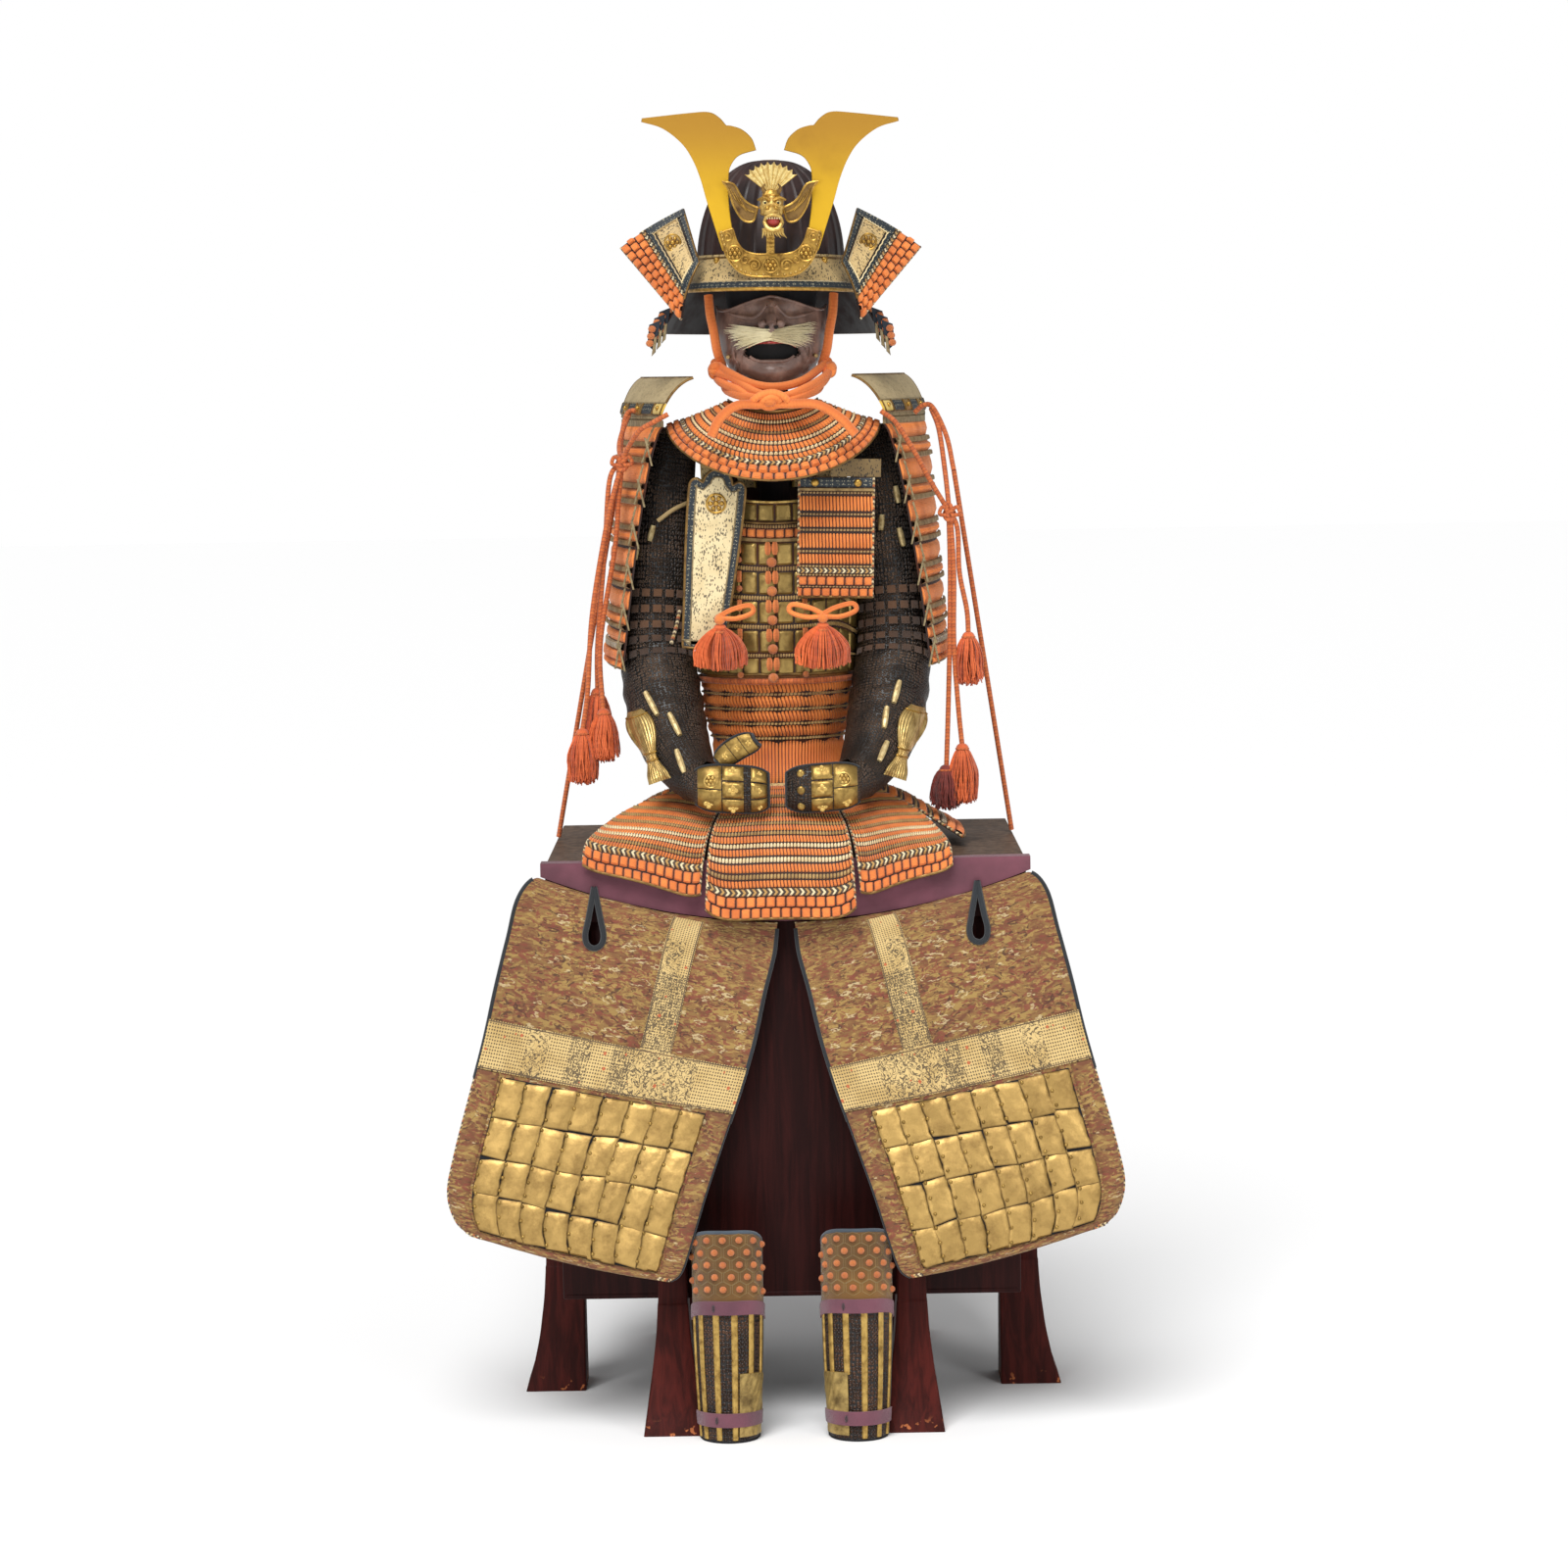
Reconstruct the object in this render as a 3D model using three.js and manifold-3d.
// Samurai armour shown seated on its six-legged storage chest, with a plain wooden stand inside it.
// Millimetres, +Z up. The armour faces -Y, and X is the viewer's right when looking at its front.
// Every cloth or lamellar piece is a wall between two grids of points, so it is hollow where the
// garment is hollow. The left and right pieces are mirror images, made by the same function.
import * as THREE from 'three';
import { mergeVertices } from 'three/addons/utils/BufferGeometryUtils.js';
import Module from 'manifold-3d';

const wasm = await Module();
wasm.setup();

// ---------------------------------------------------------------- driving dimensions
const GAP = 0.5;
const CLOTH = 2.5;
const LAMELLAR = 7;
const IRON = 3;
const CORD_SIDES = 8;

const CHEST = { width: 640, depth: 472, bottom: 180, top: 793, overhang: 12, lidBoard: 18, lidRim: 62 };
const LEG = { top: 520, thick: 35, splay: 68, inset: 19, frontX: 166, sideY: 0 };
const STAND = {
  baseSize: 180, baseThick: 18, post: 44, postY: 30, barX: 210, barY: 26, barZ: 1345, barTall: 32,
};
const HEAD = { y: -18, z: 1588, rx: 66, ry: 74, rz: 112 };
const BOWL = { y: -10, rim: 1618, height: 143, rx: 100, ry: 118, hole: 16 };
const HORN_Y = -170;

// How far each group stands from the chest's middle line, as a set that was placed by hand does.
const OFFSET = { armour: -7, arms: -2 };
const HELMET_TILT = { angle: 0.012, pivot: 1600 };
// The viewer's right thigh guard and skirt panel hang a little further in than the left ones.
const DRAWN_IN = { thigh: 0.974, skirt: 0.78, skirtFrom: 112, skirtDrop: 8 };

// ---------------------------------------------------------------- materials
const paint = (color, roughness, metalness = 0) =>
  new THREE.MeshStandardMaterial({ color, roughness, metalness });
const MATERIAL = {
  lacquer: paint(0x3a1512, 0.35),
  wood: paint(0x7d6a58, 0.7),
  darkCloth: paint(0x0c0e18, 0.9),
  iron: paint(0x32211f, 0.45, 0.3),
  gilt: paint(0xc79a35, 0.35, 0.9),
  lacing: paint(0xd9632a, 0.8),
  leather: paint(0xcdb07a, 0.7),
  mail: paint(0x1f1613, 0.7, 0.3),
  brocade: paint(0x8a5a35, 0.85),
  beltCloth: paint(0x6b3440, 0.85),
  hair: paint(0xd8cba4, 0.9),
};

// ---------------------------------------------------------------- helpers
const { lerp, degToRad } = THREE.MathUtils;
const V = (x, y, z) => new THREE.Vector3(x, y, z);
const group = new THREE.Group();
const armour = new THREE.Group();
const helmetPivot = new THREE.Group();
const helmetParts = new THREE.Group();
group.add(armour);
armour.position.x = OFFSET.armour;
armour.add(helmetPivot);
helmetPivot.position.z = HELMET_TILT.pivot;
helmetPivot.rotation.y = HELMET_TILT.angle;
helmetPivot.add(helmetParts);
helmetParts.position.z = -HELMET_TILT.pivot;
let holder = group;

function node(name, geometry, material) {
  const mesh = new THREE.Mesh(geometry, material);
  mesh.name = name;
  holder.add(mesh);
  return mesh;
}

// Makes one piece for each side of the body: side is -1 on the viewer's left and +1 on the right.
function both(name, make, material) {
  for (const [word, side] of [['left', -1], ['right', 1]]) {
    node(`${name}_${word}`, make(side), material);
  }
}

// A smooth value through evenly spaced table values, for t from 0 to 1 (uniform Catmull-Rom).
function through(values, t) {
  const last = values.length - 1;
  const at = Math.min(Math.max(t, 0), 1) * last;
  const k = Math.min(Math.floor(at), last - 1);
  const f = at - k;
  const b = values[k];
  const c = values[k + 1];
  const a = k > 0 ? values[k - 1] : 2 * b - c;
  const d = k + 2 <= last ? values[k + 2] : 2 * c - b;
  return 0.5 * (2 * b + (c - a) * f + (2 * a - 5 * b + 4 * c - d) * f * f
    + (3 * b - a - 3 * c + d) * f * f * f);
}

const column = (table, name, t) => through(table.map((row) => row[name]), t);
const pointThrough = (points, t) => V(...[0, 1, 2].map((k) => through(points.map((p) => p[k]), t)));

function signedVolume(positions, faces) {
  let sum = 0;
  for (const [a, b, c] of faces) {
    sum += positions[a].dot(positions[b].clone().cross(positions[c]));
  }
  return sum / 6;
}

function meshOf(positions, faces) {
  const flip = signedVolume(positions, faces) < 0;
  const geometry = new THREE.BufferGeometry();
  const flat = positions.flatMap((p) => [p.x, p.y, p.z]);
  geometry.setAttribute('position', new THREE.Float32BufferAttribute(flat, 3));
  geometry.setIndex(faces.flatMap(([a, b, c]) => (flip ? [a, c, b] : [a, b, c])));
  return geometry;
}

// A closed wall between two grids of the same size; around joins each row's end to its start.
function wallBetween(front, back, around = false) {
  const rows = front.length;
  const cols = front[0].length;
  const positions = [...front.flat(), ...back.flat()];
  const id = (layer, j, i) => layer * rows * cols + j * cols + (i % cols);
  const faces = [];
  const quad = (a, b, c, d) => faces.push([a, b, c], [a, c, d]);
  const spans = around ? cols : cols - 1;
  for (let j = 0; j < rows - 1; j += 1) {
    for (let i = 0; i < spans; i += 1) {
      quad(id(0, j, i), id(0, j, i + 1), id(0, j + 1, i + 1), id(0, j + 1, i));
      quad(id(1, j, i), id(1, j + 1, i), id(1, j + 1, i + 1), id(1, j, i + 1));
    }
  }
  for (let i = 0; i < spans; i += 1) {
    quad(id(0, 0, i), id(1, 0, i), id(1, 0, i + 1), id(0, 0, i + 1));
    quad(id(0, rows - 1, i), id(0, rows - 1, i + 1), id(1, rows - 1, i + 1), id(1, rows - 1, i));
  }
  if (!around) {
    for (let j = 0; j < rows - 1; j += 1) {
      quad(id(0, j, 0), id(0, j + 1, 0), id(1, j + 1, 0), id(1, j, 0));
      quad(id(0, j, cols - 1), id(1, j, cols - 1), id(1, j + 1, cols - 1), id(0, j + 1, cols - 1));
    }
  }
  return meshOf(positions, faces);
}

function gridOf(surface, across, down, around = false) {
  const rows = [];
  for (let j = 0; j <= down; j += 1) {
    const row = [];
    for (let i = 0; i < across + (around ? 0 : 1); i += 1) {
      row.push(surface(i / across, j / down));
    }
    rows.push(row);
  }
  return rows;
}

// The grid moved along its own normals by a distance; a negative distance goes the other way.
function offsetGrid(grid, distance, around = false) {
  const rows = grid.length;
  const cols = grid[0].length;
  return grid.map((row, j) => row.map((p, i) => {
    const left = around ? row[(i + cols - 1) % cols] : row[Math.max(i - 1, 0)];
    const right = around ? row[(i + 1) % cols] : row[Math.min(i + 1, cols - 1)];
    const above = grid[Math.max(j - 1, 0)][i];
    const below = grid[Math.min(j + 1, rows - 1)][i];
    const normal = right.clone().sub(left).cross(below.clone().sub(above)).normalize();
    return p.clone().addScaledVector(normal, distance);
  }));
}

// A wall whose given surface is one face and whose other face is `thick` away along the normals.
function wall(surface, across, down, thick, around = false) {
  const grid = gridOf(surface, across, down, around);
  return wallBetween(grid, offsetGrid(grid, thick, around), around);
}

// A wall lying on a surface: from `lift` to `lift + thick` away from it.
function wallOn(surface, across, down, lift, thick) {
  const grid = gridOf(surface, across, down);
  return wallBetween(offsetGrid(grid, lift), offsetGrid(grid, lift + thick));
}

// A solid through sections, each a closed ring of points, with flat ends.
function loft(rings) {
  const count = rings[0].length;
  const positions = rings.flat();
  const faces = [];
  for (let j = 0; j < rings.length - 1; j += 1) {
    for (let i = 0; i < count; i += 1) {
      const a = j * count + i;
      const b = j * count + ((i + 1) % count);
      faces.push([a, b, b + count], [a, b + count, a + count]);
    }
  }
  const last = (rings.length - 1) * count;
  for (let i = 1; i < count - 1; i += 1) {
    faces.push([0, i + 1, i], [last, last + i, last + i + 1]);
  }
  return meshOf(positions, faces);
}

function box(width, depth, height, x, y, z) {
  return new THREE.BoxGeometry(width, depth, height).translate(x, y, z);
}

// A plate cut to an outline in X and Z, standing at depth y and reaching `thick` further back.
function plate(outline, thick, y) {
  const shape = new THREE.Shape(outline.map(([x, z]) => new THREE.Vector2(x, z)));
  const geometry = new THREE.ExtrudeGeometry(shape, { depth: thick, bevelEnabled: false });
  return geometry.rotateX(Math.PI / 2).translate(0, y + thick, 0);
}

function cord(points, radius, steps) {
  const path = new THREE.CatmullRomCurve3(points.map((p) => V(...p)));
  const section = new THREE.Shape();
  for (let i = 0; i < CORD_SIDES; i += 1) {
    const a = (2 * Math.PI * i) / CORD_SIDES;
    section[i ? 'lineTo' : 'moveTo'](radius * Math.cos(a), radius * Math.sin(a));
  }
  section.closePath();
  return new THREE.ExtrudeGeometry(section, { steps, extrudePath: path, bevelEnabled: false });
}

function solid(geometry) {
  const bare = geometry.clone();
  bare.deleteAttribute('normal');
  bare.deleteAttribute('uv');
  const merged = mergeVertices(bare, 1e-4);
  return new wasm.Manifold(new wasm.Mesh({
    numProp: 3,
    vertProperties: new Float32Array(merged.attributes.position.array),
    triVerts: new Uint32Array(merged.index.array),
  }));
}

function geometryOf(manifold) {
  const mesh = manifold.getMesh();
  const geometry = new THREE.BufferGeometry();
  geometry.setAttribute('position', new THREE.Float32BufferAttribute(mesh.vertProperties, 3));
  geometry.setIndex([...mesh.triVerts]);
  return geometry;
}

const joined = (...pieces) => geometryOf(pieces.map(solid).reduce((a, b) => a.add(b)));
const cut = (piece, ...tools) => geometryOf(tools.map(solid).reduce((a, b) => a.subtract(b), solid(piece)));

// A tassel: a solid of revolution from its bound neck down to the reach of its fringe.
function tassel(x, y, top, height, radius, flat = 1) {
  const profile = [[0, -1], [1, -1], [0.95, -0.62], [0.72, -0.3], [0.42, -0.14], [0.3, 0], [0, 0]];
  const points = profile.map(([r, z]) => new THREE.Vector2(r * radius, z * height));
  return new THREE.LatheGeometry(points, 12).rotateX(Math.PI / 2).scale(1, flat, 1).translate(x, y, top);
}

// ---------------------------------------------------------------- the chest
function chestBody() {
  const tall = CHEST.top - CHEST.lidBoard - GAP - CHEST.bottom;
  return box(CHEST.width, CHEST.depth, tall, 0, 0, CHEST.bottom + tall / 2);
}

// The lid is a shallow tray turned over, and its rim reaches down round the body.
function chestLid() {
  const over = CHEST.overhang;
  const tall = CHEST.lidBoard + CHEST.lidRim;
  const shell = box(CHEST.width + 2 * over, CHEST.depth + 2 * over, tall, 0, 0, CHEST.top - tall / 2);
  const inner = box(CHEST.width + 2 * GAP, CHEST.depth + 2 * GAP, CHEST.lidRim + 10,
    0, 0, CHEST.top - CHEST.lidBoard - (CHEST.lidRim + 10) / 2);
  return cut(shell, inner);
}

// A leg, made against the chest's front at the middle: narrow above and flared to a broad foot.
const LEG_ROWS = [
  { z: 0, half: 43, out: LEG.splay },
  { z: 34, half: 38, out: 57 },
  { z: 80, half: 31, out: 47 },
  { z: 135, half: 24, out: 40 },
  { z: 200, half: 20, out: 36 },
  { z: 340, half: 19, out: 35 },
  { z: LEG.top, half: 19, out: LEG.thick },
];

function legAt(x, y, turn) {
  const rings = LEG_ROWS.map(({ z, half, out }) => [
    V(-half, LEG.inset, z), V(half, LEG.inset, z), V(half, -out, z), V(-half, -out, z),
  ]);
  const clear = box(400, 400, 600, 0, 200 - GAP, CHEST.bottom - GAP + 300);
  return cut(loft(rings), clear).rotateZ(turn).translate(x, y, 0);
}

function chest() {
  node('chest_body', chestBody(), MATERIAL.lacquer);
  node('chest_lid', chestLid(), MATERIAL.wood);
  const front = -CHEST.depth / 2;
  const side = CHEST.width / 2;
  const places = [
    [-LEG.frontX, front, 0], [LEG.frontX, front, 0], [side, LEG.sideY, Math.PI / 2],
    [LEG.frontX, -front, Math.PI], [-LEG.frontX, -front, Math.PI], [-side, LEG.sideY, -Math.PI / 2],
  ];
  places.forEach(([x, y, turn], k) => node(`chest_leg_${k + 1}`, legAt(x, y, turn), MATERIAL.lacquer));
}

// ---------------------------------------------------------------- the inner stand
// A base board, a post and a shoulder bar of wood, and a head block that carries the helmet.
function stand() {
  const floor = CHEST.top + GAP;
  const { baseSize, baseThick, post, postY, barX, barY, barZ, barTall } = STAND;
  const base = box(baseSize, baseSize, baseThick, 0, postY, floor + baseThick / 2);
  const headBottom = HEAD.z - HEAD.rz;
  const upright = box(post, post, headBottom + 20 - floor, 0, postY, (floor + headBottom + 20) / 2);
  const bar = box(barX, barY, barTall, 0, postY, barZ);
  const head = new THREE.SphereGeometry(1, 14, 10).rotateX(Math.PI / 2)
    .scale(HEAD.rx, HEAD.ry, HEAD.rz).translate(0, HEAD.y, HEAD.z);
  const neck = box(60, 60, 60, 0, 0, headBottom + 20);
  node('armour_stand', joined(base, upright, bar, neck, head), MATERIAL.darkCloth);
}

// ---------------------------------------------------------------- the helmet
function bowlPoint(turn, rise, grow = 0) {
  const a = turn * 2 * Math.PI;
  const tilt = rise * (Math.PI / 2 - 0.14);
  const out = Math.cos(tilt) ** 0.82;
  return V((BOWL.rx + grow) * out * Math.sin(a), BOWL.y - (BOWL.ry + grow) * out * Math.cos(a),
    BOWL.rim + (BOWL.height + grow) * Math.sin(tilt));
}

// The peak: a visor from just outside the bowl's rim, forward and down.
const PEAK = { half: 72, top: 1628, lip: 1578, inRx: 104, inRy: 122, outRx: 122, outRy: 176 };
function peakPoint(u, v) {
  const a = degToRad(lerp(-PEAK.half, PEAK.half, u));
  const rx = lerp(PEAK.inRx, PEAK.outRx, v);
  const ry = lerp(PEAK.inRy, PEAK.outRy, v);
  return V(rx * Math.sin(a), BOWL.y - ry * Math.cos(a), lerp(PEAK.top, PEAK.lip, v ** 0.8));
}

// The neck guard: a flared skirt of lames round the sides and back, in four steps.
const GUARD = { half: 106, topRx: 106, topRy: 124, low: 1523, top: 1612, flareX: 58, flareY: 72 };
function neckGuardPoint(u, v) {
  const a = degToRad(180 + lerp(-GUARD.half, GUARD.half, u));
  const flare = v ** 0.9;
  return V((GUARD.topRx + GUARD.flareX * flare) * Math.sin(a),
    BOWL.y - (GUARD.topRy + GUARD.flareY * flare) * Math.cos(a), lerp(GUARD.top, GUARD.low, v));
}

// The turned-back front end of the neck guard, by its four corners: u runs from the outer lower
// corner along the lower edge, and v from that edge to the top edge beside the bowl.
const TURNBACK = {
  outerLow: [212, -52, 1640],
  innerLow: [126, -118, 1538],
  outerTop: [122, -62, 1694],
  innerTop: [100, -120, 1618],
  bow: 10,
};
function turnbackPoint(side, u, v) {
  const edge = (a, b, t) => V(...a).lerp(V(...b), t);
  const low = edge(TURNBACK.outerLow, TURNBACK.innerLow, u);
  const high = edge(TURNBACK.outerTop, TURNBACK.innerTop, u);
  const p = low.lerp(high, v);
  const arch = 4 * v * (1 - v) * TURNBACK.bow;
  return V(side * (p.x + arch * 0.5), p.y - arch, p.z);
}

// One horn of the crest, as an outline in X and Z; its lower end stands behind the crest's base.
const HORN = [
  [47, 1632], [53, 1664], [57, 1700], [57, 1735], [53, 1750], [42, 1762], [19, 1769],
  [25, 1785], [38, 1797], [52, 1802], [60, 1803], [70, 1814], [84, 1821], [110, 1820],
  [176, 1813], [177, 1808], [148, 1799], [122, 1779], [107, 1757], [96, 1730], [87, 1698],
  [72, 1650], [66, 1632],
];

// The crest's base: a broad U that rises to the horns on both sides.
function crestBase() {
  const half = [
    [0, 1596], [26, 1597], [44, 1604], [58, 1620], [67, 1642], [70, 1656],
    [52, 1662], [46, 1644], [36, 1632], [20, 1627], [0, 1627],
  ];
  const mirrored = half.slice(1, -1).reverse().map(([x, z]) => [-x, z]);
  return plate([...half, ...mirrored], IRON, HORN_Y - IRON - GAP);
}

// The dragon crest: a stem, a head with a beard, a fan of spines behind it and two wings.
function dragonCrest() {
  const y = -190;
  const stem = box(13, 12, 44, 0, -180, 1652);
  const head = new THREE.SphereGeometry(1, 12, 8).scale(19, 17, 27).translate(0, y, 1684);
  const spread = [[-10, 1700], [10, 1700], [24, 1738], [14, 1749], [0, 1753], [-14, 1749], [-24, 1738]];
  const fan = plate(spread, 5, y - 2);
  const wing = [[12, 1668], [38, 1662], [56, 1684], [62, 1716], [50, 1706], [34, 1690], [12, 1690]];
  const right = plate(wing, 5, y + 4);
  const left = plate(wing.map(([x, z]) => [-x, z]).reverse(), 5, y + 4);
  return joined(stem, head, fan, right, left);
}

function helmet() {
  node('helmet_bowl', wall((u, v) => bowlPoint(u, v), 24, 6, IRON, true), MATERIAL.iron);
  node('helmet_peak', wall((u, v) => peakPoint(u, v), 14, 2, -IRON), MATERIAL.leather);
  node('neck_guard', wall((u, v) => neckGuardPoint(u, v), 20, 4, 6), MATERIAL.lacquer);
  both('turnback', (side) => wall((u, v) => turnbackPoint(side, u, v), 4, 4, 5 * side), MATERIAL.leather);
  both('crest_horn', (side) => {
    const outline = HORN.map(([x, z]) => [side * x, z]);
    return plate(side < 0 ? outline.reverse() : outline, 2.5, HORN_Y);
  }, MATERIAL.gilt);
  node('crest_base', crestBase(), MATERIAL.gilt);
  node('dragon_crest', dragonCrest(), MATERIAL.gilt);
}

// ---------------------------------------------------------------- the face mask and throat guard
// The half mask covers nose, cheeks and chin. Each row is a level: half angle, radii and height.
const MASK_Y = -28;
const MASK_ROWS = [
  { z: 1560, half: 86, rx: 77, ry: 84 },
  { z: 1540, half: 88, rx: 77, ry: 88 },
  { z: 1515, half: 88, rx: 74, ry: 92 },
  { z: 1490, half: 86, rx: 67, ry: 91 },
  { z: 1466, half: 82, rx: 54, ry: 88 },
  { z: 1449, half: 74, rx: 36, ry: 80 },
];
const NOSE = { wide: 15, tall: 30, z: 1532, reach: 24 };
const MOUTH = { half: 27, top: 1500, low: 1483 };
function maskPoint(u, v) {
  const half = degToRad(column(MASK_ROWS, 'half', v));
  const a = lerp(-half, half, u);
  const rx = column(MASK_ROWS, 'rx', v);
  const ry = column(MASK_ROWS, 'ry', v);
  const x = rx * Math.sin(a);
  const z = column(MASK_ROWS, 'z', v) + (v < 0.3 ? 8 * (1 - v / 0.3) * Math.cos(3 * a) : 0);
  const nose = NOSE.reach * Math.exp(-((x / NOSE.wide) ** 2) - ((z - NOSE.z) / NOSE.tall) ** 2);
  return V(x, MASK_Y - ry * Math.cos(a) - nose, z);
}

function mask() {
  const shell = wall((u, v) => maskPoint(u, v), 20, 10, IRON);
  const tall = MOUTH.top - MOUTH.low;
  const mouth = box(2 * MOUTH.half, 90, tall, 0, MASK_Y - 80, (MOUTH.top + MOUTH.low) / 2);
  node('face_mask', cut(shell, mouth), MATERIAL.iron);
  // The hair of the moustache is one solid of its reach, just clear of the mask.
  const upper = (u, v) => maskPoint(lerp(0.22, 0.78, u), lerp(0.42, 0.52, v) + 0.05 * Math.abs(u - 0.5));
  node('moustache', wallOn(upper, 10, 2, -8, 7), MATERIAL.hair);
}

const THROAT = {
  topRx: 62, topRy: 66, topZ: 1428, topY: -44, lowX: 152, lowY: 148, sideZ: 1392, frontZ: 1318, half: 96,
};
function throatPoint(u, v) {
  const a = degToRad(lerp(-THROAT.half, THROAT.half, u));
  const low = lerp(THROAT.sideZ, THROAT.frontZ, Math.max(Math.cos(a), 0) ** 1.3);
  return V(lerp(THROAT.topRx, THROAT.lowX, v) * Math.sin(a),
    THROAT.topY - lerp(THROAT.topRy, THROAT.lowY, v) * Math.cos(a),
    lerp(THROAT.topZ - 16 * Math.cos(a) ** 2, low, v ** 0.92));
}

// The helmet cord: a strand down each side of the mask, a turn under the chin, and the tied ends.
const CHIN_CORD = 6.5;
const CORD_SIDE = [[88, -66, 1574], [86, -71, 1548], [81, -76, 1522], [77, -73, 1496], [70, -58, 1474]];
const CORD_UNDER = [
  [-68, -42, 1450], [-62, -88, 1440], [-38, -124, 1432], [0, -139, 1427], [38, -124, 1432],
  [62, -88, 1440], [68, -42, 1450],
];
const CORD_TIED = [
  [-86, -176, 1378], [-74, -172, 1402], [-50, -164, 1420], [-18, -148, 1421], [24, -148, 1421],
  [60, -164, 1420], [92, -172, 1402], [114, -176, 1378],
];

function throatAndCords() {
  node('throat_guard', wall((u, v) => throatPoint(u, v), 18, 5, 5), MATERIAL.lacing);
  const sideCord = (side) => cord(CORD_SIDE.map(([x, y, z]) => [side * x, y, z]), CHIN_CORD, 10);
  both('chin_cord', sideCord, MATERIAL.lacing);
  const knot = new THREE.SphereGeometry(11, 10, 8).translate(4, -148, 1425);
  const under = joined(cord(CORD_UNDER, CHIN_CORD, 18), cord(CORD_TIED, CHIN_CORD, 20), knot);
  node('chin_cord_under', under, MATERIAL.lacing);
}

// ---------------------------------------------------------------- the cuirass
const BODY_ROWS = [
  { z: 1285, rx: 108, ry: 96 },
  { z: 1225, rx: 112, ry: 102 },
  { z: 1165, rx: 113, ry: 103 },
  { z: 1103, rx: 112, ry: 101 },
  { z: 1041, rx: 110, ry: 97 },
];
const WAIST_ROWS = [
  { z: 1039, rx: 110, ry: 97 },
  { z: 1008, rx: 108, ry: 94 },
  { z: 977, rx: 101, ry: 88 },
  { z: 946, rx: 88, ry: 80 },
  { z: 915, rx: 84, ry: 77 },
  { z: 884, rx: 96, ry: 88 },
];
const ARMHOLE = 66;
const BACK_RISE = 105;

// The armhole: the top edge drops towards the sides, for an angle from the front or the back.
function armholeDrop(angle) {
  const t = Math.min(Math.max((Math.abs(angle) - 42) / 46, 0), 1);
  return ARMHOLE * t * t * (3 - 2 * t);
}

function frontPoint(u, v) {
  const degrees = lerp(-88, 88, u);
  const a = degToRad(degrees);
  const top = armholeDrop(degrees) / (BODY_ROWS[0].z - BODY_ROWS[4].z);
  const t = lerp(top, 1, v);
  const rise = 10 * (1 - v) * Math.min(Math.abs(degrees) / 42, 1) ** 2;
  return V(column(BODY_ROWS, 'rx', t) * Math.sin(a), -column(BODY_ROWS, 'ry', t) * Math.cos(a),
    column(BODY_ROWS, 'z', t) + rise);
}

function backPoint(u, v) {
  const degrees = lerp(-87.5, 87.5, u);
  const a = degToRad(180 + degrees);
  const top = armholeDrop(degrees) / (BODY_ROWS[0].z - BODY_ROWS[4].z);
  const t = lerp(top, 1, v);
  const rise = BACK_RISE * (1 - v) * (1 - Math.min(Math.abs(degrees) / 88, 1) ** 2);
  return V(column(BODY_ROWS, 'rx', t) * Math.sin(a), -column(BODY_ROWS, 'ry', t) * Math.cos(a),
    column(BODY_ROWS, 'z', t) + rise);
}

function waistPoint(u, v) {
  const a = u * 2 * Math.PI;
  return V(column(WAIST_ROWS, 'rx', v) * Math.sin(a), -column(WAIST_ROWS, 'ry', v) * Math.cos(a),
    column(WAIST_ROWS, 'z', v));
}

// A shoulder strap, over the shoulder from the outside of the back plate to the front of the chest.
const STRAP_ROWS = [
  { inner: 26, outer: 72, y: 96, z: 1300 },
  { inner: 32, outer: 80, y: 86, z: 1338 },
  { inner: 44, outer: 89, y: 60, z: 1366 },
  { inner: 54, outer: 96, y: 18, z: 1385 },
  { inner: 60, outer: 100, y: -30, z: 1386 },
  { inner: 62, outer: 102, y: -70, z: 1370 },
  { inner: 62, outer: 102, y: -93, z: 1336 },
  { inner: 62, outer: 100, y: -99, z: 1300 },
];
function strapPoint(side, u, v) {
  const x = lerp(column(STRAP_ROWS, 'inner', v), column(STRAP_ROWS, 'outer', v), u);
  return V(side * x, column(STRAP_ROWS, 'y', v), column(STRAP_ROWS, 'z', v));
}

function cuirass() {
  node('cuirass_front', wall(frontPoint, 14, 5, -LAMELLAR), MATERIAL.gilt);
  const straps = [-1, 1].map((side) => wall((u, v) => strapPoint(side, u, v), 2, 12, 5 * side));
  node('cuirass_back', joined(wall(backPoint, 14, 5, -LAMELLAR), ...straps), MATERIAL.lacing);
  node('cuirass_waist', wall(waistPoint, 24, 7, LAMELLAR, true), MATERIAL.lacing);
}

// ---------------------------------------------------------------- the two armpit plates
// The leather-faced plate hangs on the left of the chest, tilted, with a lobed head.
function leatherPlate() {
  const head = [[41, 0.9], [38, 0.985], [26, 0.995], [19, 0.965], [14, 0.985], [0, 1.04]];
  const tall = 244;
  const right = [[30, 0.02], [36, 0.45], ...head].map(([x, t]) => [x, t * tall]);
  const left = right.slice(0, -1).reverse().map(([x, z]) => [-x, z]);
  return plate([[26, 0], ...right, ...left, [-26, 0]], 4, 0)
    .rotateY(degToRad(6)).translate(-103, -122, 1080);
}

function lacedPlate() {
  const outline = [[-52, 0], [52, 0], [54, 85], [54, 170], [-54, 170], [-54, 85]];
  return plate(outline, LAMELLAR, 0).rotateY(degToRad(1.5)).translate(83, -122, 1148);
}

function chestPlates() {
  node('armpit_plate_leather', leatherPlate(), MATERIAL.leather);
  node('armpit_plate_laced', lacedPlate(), MATERIAL.lacing);
  node('chest_tassel_left', tassel(-79, -143, 1112, 66, 38, 0.5), MATERIAL.lacing);
  node('chest_tassel_right', tassel(65, -136, 1112, 66, 40, 0.5), MATERIAL.lacing);
}

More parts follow.
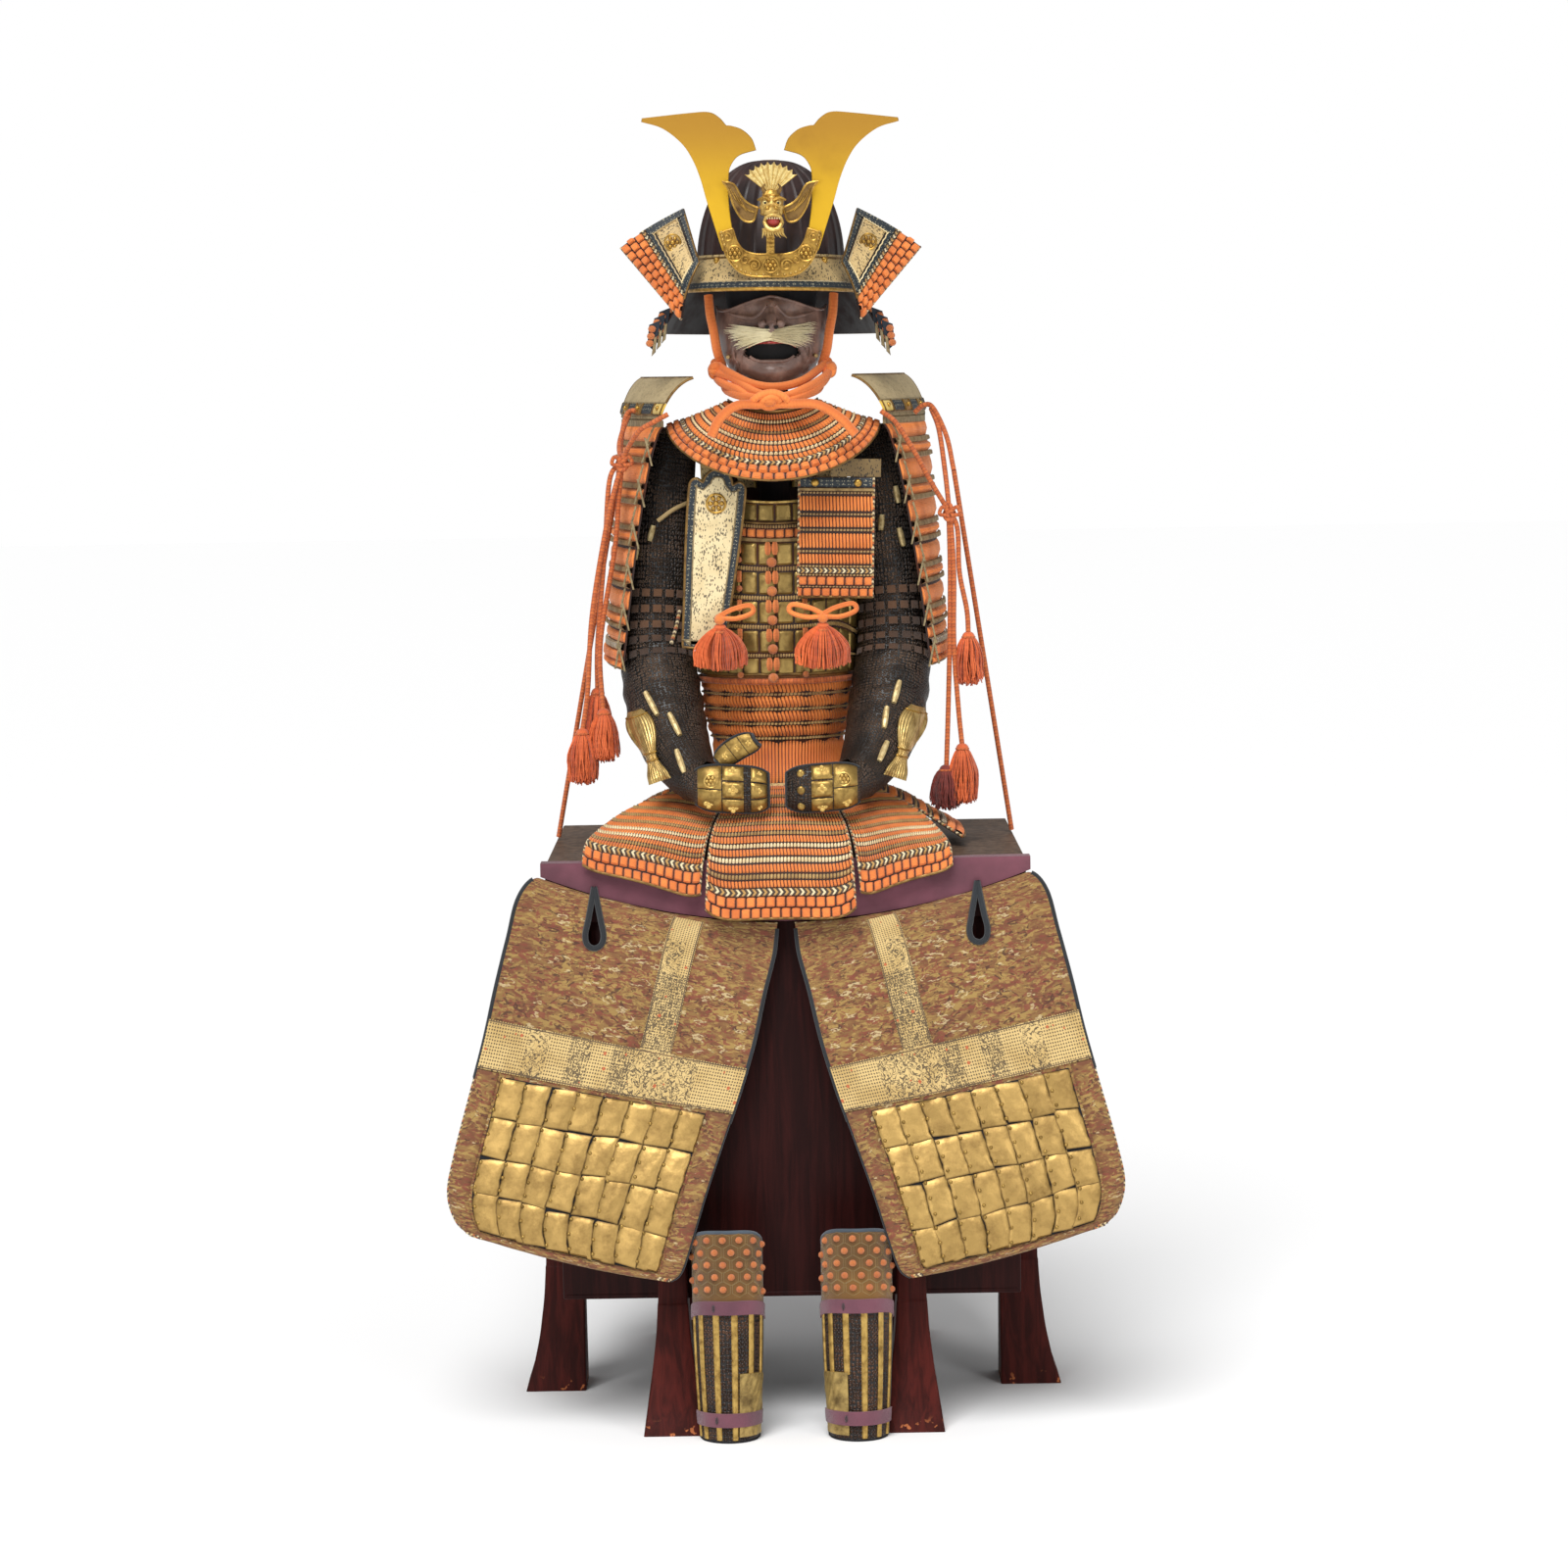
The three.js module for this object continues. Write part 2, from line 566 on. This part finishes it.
// ---------------------------------------------------------------- the skirt of seven panels
// A panel is ruled between its two long edges, each a list of [x, y, z] from the waist to the hem.
const SKIRT = {
  front: {
    a: [
      [-50, -96, 878], [-68, -140, 868], [-84, -190, 848],
      [-94, -240, 826], [-100, -275, 786], [-104, -286, 714],
    ],
    b: [
      [50, -96, 878], [68, -140, 868], [84, -190, 848],
      [94, -240, 826], [100, -275, 786], [104, -286, 714],
    ],
    bow: 5,
  },
  front_side: {
    a: [
      [57, -92, 876], [80, -136, 862], [92, -184, 842],
      [101, -232, 820], [108, -266, 784], [111, -276, 742],
    ],
    b: [
      [104, -44, 876], [160, -66, 866], [212, -108, 850],
      [248, -168, 832], [268, -246, 818], [272, -268, 786],
    ],
    bow: 6,
  },
  side: {
    a: [[104, -36, 876], [150, -50, 862], [194, -76, 842], [232, -100, 820], [262, -118, 802]],
    b: [[104, 36, 876], [150, 46, 862], [192, 60, 842], [228, 66, 820], [256, 68, 802]],
    bow: 6,
  },
  back: {
    a: [[4, 103, 876], [4, 146, 862], [4, 196, 842], [4, 240, 820], [4, 268, 782], [4, 276, 738]],
    b: [[106, 48, 876], [150, 76, 862], [186, 116, 844], [206, 170, 826], [214, 236, 814], [216, 258, 776]],
    bow: 6,
  },
};

function skirtPoint(panel, side, u, v) {
  const p = pointThrough(panel.a, v).lerp(pointThrough(panel.b, v), u);
  const lift = 4 * u * (1 - u) * panel.bow;
  const beyond = side > 0 && panel === SKIRT.front_side ? Math.max(p.x - DRAWN_IN.skirtFrom, 0) : 0;
  const x = p.x - beyond * (1 - DRAWN_IN.skirt);
  return V(side * x, p.y, p.z + lift - DRAWN_IN.skirtDrop * beyond / 160);
}

function skirt() {
  const make = (panel, side, flip) => wall(
    (u, v) => skirtPoint(panel, side, u, v), 4, 8, LAMELLAR * side * flip,
  );
  node('skirt_front', make(SKIRT.front, 1, -1), MATERIAL.lacing);
  both('skirt_front_side', (side) => make(SKIRT.front_side, side, -1), MATERIAL.lacing);
  both('skirt_side', (side) => make(SKIRT.side, side, -1), MATERIAL.lacing);
  both('skirt_back', (side) => make(SKIRT.back, side, 1), MATERIAL.lacing);
}

// ---------------------------------------------------------------- shoulder guards
// Each guard hangs outside the arm, nearly edge-on from the front. u runs from front to back.
const SODE = {
  frontY: -95, backY: 150, top: 1398, low: 1052, bow: 40,
  topFront: 156, topBack: 220, lowFront: 222, lowBack: 250, ease: 0.6,
};
function sodePoint(side, u, v) {
  const x = lerp(lerp(SODE.topFront, SODE.topBack, u), lerp(SODE.lowFront, SODE.lowBack, u), v ** SODE.ease);
  const y = lerp(SODE.frontY, SODE.backY, u);
  return V(side * (x + SODE.bow * u * (1 - u)), y, lerp(SODE.top, SODE.low, v));
}

// The cap plate leans in over the shoulder from the guard's top edge.
const CAP = { low: 1401, tall: 56, leanFront: 46, leanBack: 30 };
function capPoint(side, u, v) {
  const base = sodePoint(1, u, 0);
  const inward = lerp(CAP.leanFront, CAP.leanBack, u) * v ** 1.4;
  return V(side * (base.x - inward), base.y, CAP.low + CAP.tall * Math.sin(v * 1.35) / Math.sin(1.35));
}

function shoulderGuards() {
  const guard = (side) => wall((u, v) => sodePoint(side, u, v), 6, 8, LAMELLAR * side);
  both('shoulder_guard', guard, MATERIAL.lacing);
  const cap = (side) => wall((u, v) => capPoint(side, u, v), 6, 4, 4 * side);
  both('shoulder_guard_cap', cap, MATERIAL.leather);
}

// ---------------------------------------------------------------- sleeves and hand guards
// A sleeve is an open tube: centre and radius of each section, from the shoulder to the wrist.
const SLEEVE_ROWS = [
  { x: 143, y: 6, z: 1386, r: 33 },
  { x: 159, y: 1, z: 1306, r: 39 },
  { x: 165, y: -6, z: 1220, r: 41 },
  { x: 170, y: -14, z: 1136, r: 45 },
  { x: 171, y: -32, z: 1060, r: 51 },
  { x: 163, y: -64, z: 1000, r: 53 },
  { x: 148, y: -108, z: 950, r: 49 },
  { x: 127, y: -150, z: 917, r: 41 },
  { x: 110, y: -176, z: 900, r: 33 },
];
const SLEEVE_AROUND = 14;
const SLEEVE_DOWN = 12;

function sleeveRing(side, v, grow) {
  const at = (t) => V(side * column(SLEEVE_ROWS, 'x', t) + OFFSET.arms, column(SLEEVE_ROWS, 'y', t),
    column(SLEEVE_ROWS, 'z', t));
  const tangent = at(Math.min(v + 0.02, 1)).sub(at(Math.max(v - 0.02, 0))).normalize();
  const across = V(side, 0, 0).addScaledVector(tangent, -tangent.x * side).normalize();
  const over = tangent.clone().cross(across);
  const r = column(SLEEVE_ROWS, 'r', v) + grow;
  const centre = at(v);
  return (u) => {
    const a = u * 2 * Math.PI;
    return centre.clone().addScaledVector(across, r * Math.cos(a)).addScaledVector(over, r * Math.sin(a));
  };
}

function sleeve(side) {
  const rings = (grow) => {
    const rows = [];
    for (let j = 0; j <= SLEEVE_DOWN; j += 1) {
      const ring = sleeveRing(side, j / SLEEVE_DOWN, grow);
      rows.push(Array.from({ length: SLEEVE_AROUND }, (_, i) => ring(i / SLEEVE_AROUND)));
    }
    return rows;
  };
  return wallBetween(rings(0), rings(-CLOTH), true);
}

// The hand guard curls over the back of a hand that rests on the skirt. u runs from the wrist
// inwards to the knuckles, and v from above the hand, round its front, to below it.
const HAND = { x: 63, half: 50, y: -206, z: 890, ry: 30, rz: 36 };
function handPoint(side, u, v) {
  const a = degToRad(lerp(-60, 62, v));
  const end = Math.abs(2 * u - 1) ** 3;
  const x = HAND.x + lerp(HAND.half, -HAND.half, u);
  return V(side * x + OFFSET.arms, HAND.y - (HAND.ry - 8 * end) * Math.cos(a) + 4 * end,
    HAND.z - (HAND.rz - 5 * end) * Math.sin(a) + 6 * (1 - u));
}

// The thumb plate stands up from the viewer's left hand, on its own tab.
const THUMB = { from: [-80, -208, 931], to: [-34, -213, 958], half: 13 };
function thumbPoint(u, v) {
  const along = V(...THUMB.from).lerp(V(...THUMB.to), u);
  const a = degToRad(lerp(-70, 70, v));
  return along.add(V(-0.6 * THUMB.half * Math.sin(a), -6 * Math.cos(a), 0.8 * THUMB.half * Math.sin(a)));
}

function arms() {
  both('sleeve', sleeve, MATERIAL.mail);
  both('hand_guard', (side) => wall((u, v) => handPoint(side, u, v), 6, 6, IRON * side), MATERIAL.gilt);
  node('thumb_guard_left', wall(thumbPoint, 4, 4, IRON), MATERIAL.gilt);
}

// ---------------------------------------------------------------- thigh guards and their belt
// The belt lies over the lid's front edge and sags at the middle. u runs across, v from top to bottom.
const BELT = { half: 338, sag: 78, edgeLow: 778, fold: 1 / 3, lie: 24 };
function beltLowEdge(x) {
  return BELT.edgeLow - BELT.sag * (1 - (x / BELT.half) ** 2);
}
function beltPoint(u, v) {
  const x = lerp(-BELT.half, BELT.half, u);
  const edge = -(CHEST.depth / 2 + CHEST.overhang);
  const over = CHEST.top + 1.2;
  const low = beltLowEdge(x);
  const front = edge - 3.5;
  if (v < BELT.fold) {
    const t = v / BELT.fold;
    return V(x, lerp(edge + BELT.lie * (x / BELT.half) ** 2, front, t), over);
  }
  const t = (v - BELT.fold) / (1 - BELT.fold);
  return V(x, front - 2 * t, lerp(over, low, t));
}

// One thigh guard, for the viewer's right: outer and inner edge of each level below the belt.
const THIGH_ROWS = [
  { ox: 340, oz: 776, ix: 12, iz: 699, oy: -258, iy: -260 },
  { ox: 368, oz: 752, ix: 17, iz: 668, oy: -262, iy: -266 },
  { ox: 384, oz: 696, ix: 31, iz: 616, oy: -266, iy: -276 },
  { ox: 402, oz: 628, ix: 46, iz: 552, oy: -271, iy: -287 },
  { ox: 419, oz: 556, ix: 66, iz: 486, oy: -278, iy: -297 },
  { ox: 440, oz: 480, ix: 91, iz: 416, oy: -287, iy: -308 },
  { ox: 461, oz: 404, ix: 117, iz: 344, oy: -296, iy: -330 },
  { ox: 472, oz: 348, ix: 141, iz: 268, oy: -302, iy: -341 },
  { ox: 461, oz: 308, ix: 153, iz: 238, oy: -306, iy: -344 },
  { ox: 438, oz: 288, ix: 168, iz: 227, oy: -309, iy: -343 },
];
function thighPoint(side, u, v) {
  const outer = V(column(THIGH_ROWS, 'ox', v), column(THIGH_ROWS, 'oy', v), column(THIGH_ROWS, 'oz', v));
  const inner = V(column(THIGH_ROWS, 'ix', v), column(THIGH_ROWS, 'iy', v), column(THIGH_ROWS, 'iz', v));
  const p = outer.lerp(inner, u);
  const sag = 4 * u * (1 - u);
  const top = Math.max(0, 1 - v / 0.12);
  p.y -= sag * 5 * v;
  const x = p.x * (side > 0 ? DRAWN_IN.thigh : 1);
  p.z += (beltLowEdge(x) - 1.5 - p.z) * top * top - sag * 6 * v * v;
  return V(side * x, p.y, p.z);
}

// The slot for the tie: a drop shape cut through each panel.
function thighSlot(side) {
  const drop = [[0, 764], [-9, 716], [-12, 696], [-8, 684], [2, 680], [11, 686], [13, 700], [8, 722]];
  const outline = drop.map(([x, z]) => [side * (264 + x), z]);
  return plate(side < 0 ? outline.reverse() : outline, 80, -300);
}

// What is sewn on a panel covers part of it: u and v from and to, in the panel's own measure.
const THIGH_PARTS = {
  strip: { u: [0.585, 0.705], v: [0.05, 0.395] },
  band: { u: [0, 1], v: [0.4, 0.5] },
  plates: { u: [0.1, 0.9], v: [0.508, 0.905] },
};
function thighPart(side, part, u, v) {
  return thighPoint(side, lerp(...part.u, u), lerp(...part.v, v));
}

function thighGuards() {
  node('thigh_belt', wall(beltPoint, 16, 6, -CLOTH), MATERIAL.beltCloth);
  both('thigh_panel', (side) => {
    const panel = wall((u, v) => thighPoint(side, u, v), 8, 12, -CLOTH * side);
    return cut(panel, thighSlot(side));
  }, MATERIAL.brocade);
  both('thigh_leather', (side) => {
    // The upright strip and the level band meet in a T, sewn as one.
    const sew = (part, across, down) => {
      const surface = (u, v) => thighPart(side, part, u, v);
      return wallOn(surface, across, down, 0.5 * side, 1.2 * side);
    };
    return joined(sew(THIGH_PARTS.band, 8, 1), sew({ ...THIGH_PARTS.strip, v: [0.05, 0.42] }, 1, 4));
  }, MATERIAL.leather);
  both('thigh_plates', (side) => {
    const surface = (u, v) => thighPart(side, THIGH_PARTS.plates, u, v);
    return wallOn(surface, 8, 5, 0.8 * side, 3.2 * side);
  }, MATERIAL.gilt);
}

// ---------------------------------------------------------------- shin guards
// Each stands on the floor before the chest: a trough open at the back, with a domed knee.
const SHIN = { x: 89, y: -311, top: 296, half: 94, rx: 48, ry: 41, lowRx: 41, lowRy: 37 };
function shinPoint(side, u, v) {
  const degrees = lerp(-SHIN.half, SHIN.half, u);
  const a = degToRad(degrees);
  const top = SHIN.top - 26 * Math.abs(degrees / SHIN.half) ** 3;
  const calf = 3 * Math.sin(Math.PI * v);
  return V(side * SHIN.x + (lerp(SHIN.rx, SHIN.lowRx, v) + calf) * Math.sin(a),
    SHIN.y - (lerp(SHIN.ry, SHIN.lowRy, v)) * Math.cos(a), lerp(top, 0, v));
}

function shinGuards() {
  both('shin_guard', (side) => wall((u, v) => shinPoint(side, u, v), 12, 7, 4), MATERIAL.mail);
}

// ---------------------------------------------------------------- cords at the shoulder guards
const SIDE_CORD = 3.6;
const SIDE_TASSEL = 22;
// Each route is one cord's run, from the guard's top to the knot or from the knot to its tassel.
const SIDE_SET = {
  left: {
    knot: [214, -65, 1342],
    routes: [
      [[206, 20, 1408], [213, 0, 1390], [219, -25, 1366], [216, -60, 1344]],
      [[147, -101, 1409], [168, -102, 1398], [188, -97, 1386], [205, -77, 1362], [213, -66, 1344]],
      [[214, -64, 1342], [232, -64, 1318], [241, -62, 1220], [254, -60, 1087], [256, -54, 1018]],
      [[214, -64, 1342], [220, -62, 1290], [227, -62, 1220], [250, -62, 1087], [248, -68, 990]],
      [[214, -66, 1340], [234, -70, 1270], [260, -70, 1132], [269, -70, 1021], [278, -70, 962]],
    ],
    tassels: [[256, -52, 1022, 100], [247, -70, 994, 76], [278, -70, 966, 80]],
    stay: [[218, -48, 1336], [322, 60]],
  },
  right: {
    knot: [247, -66, 1264],
    routes: [
      [[226, 20, 1410], [236, 0, 1380], [243, -30, 1320], [247, -62, 1266]],
      [[151, -101, 1409], [172, -102, 1392], [197, -93, 1352], [222, -78, 1306], [246, -67, 1266]],
      [[248, -66, 1264], [258, -66, 1240], [260, -66, 1180], [270, -62, 1126], [272, -60, 1090]],
      [[248, -66, 1264], [252, -68, 1180], [251, -68, 1080], [256, -68, 990], [261, -70, 932]],
      [[246, -66, 1264], [247, -64, 1180], [245, -66, 1079], [242, -66, 990], [238, -72, 902]],
    ],
    tassels: [[272, -60, 1094, 76], [261, -70, 936, 86], [237, -72, 906, 64]],
    stay: [[255, -42, 1322], [337, 60]],
  },
};

// Two cords leave the guard's top, meet in a knot, and hang from it to their tassels. It is one body.
function sideCords(side) {
  const set = side < 0 ? SIDE_SET.left : SIDE_SET.right;
  const cords = set.routes.map((route) => cord(route.map(([x, y, z]) => [side * x, y, z]), SIDE_CORD, 16));
  const tassels = set.tassels.map(([x, y, top, tall]) => tassel(side * x, y, top, tall, SIDE_TASSEL));
  const knot = new THREE.SphereGeometry(9, 8, 6).translate(side * set.knot[0], set.knot[1], set.knot[2]);
  return joined(...cords, ...tassels, knot);
}

// A straight cord from beside each knot down to the lid's edge.
function stayCord(side) {
  const [[x, y, z], [endX, endY]] = (side < 0 ? SIDE_SET.left : SIDE_SET.right).stay;
  return cord([[side * x, y, z], [side * endX, endY, CHEST.top + SIDE_CORD + 1]], SIDE_CORD, 6);
}

function sideCordSets() {
  both('side_cords', sideCords, MATERIAL.lacing);
  both('stay_cord', stayCord, MATERIAL.lacing);
}

// ---------------------------------------------------------------- the whole object
chest();
thighGuards();
shinGuards();
holder = armour;
stand();
mask();
throatAndCords();
cuirass();
chestPlates();
skirt();
shoulderGuards();
arms();
sideCordSets();
holder = helmetParts;
helmet();

// The origin is the middle of the whole object's footprint, on the floor.
const bounds = new THREE.Box3().setFromObject(group, true);
const middle = bounds.getCenter(new THREE.Vector3());
const placed = new THREE.Group();
placed.add(group);
group.position.set(-middle.x, -middle.y, -bounds.min.z);

export default placed;
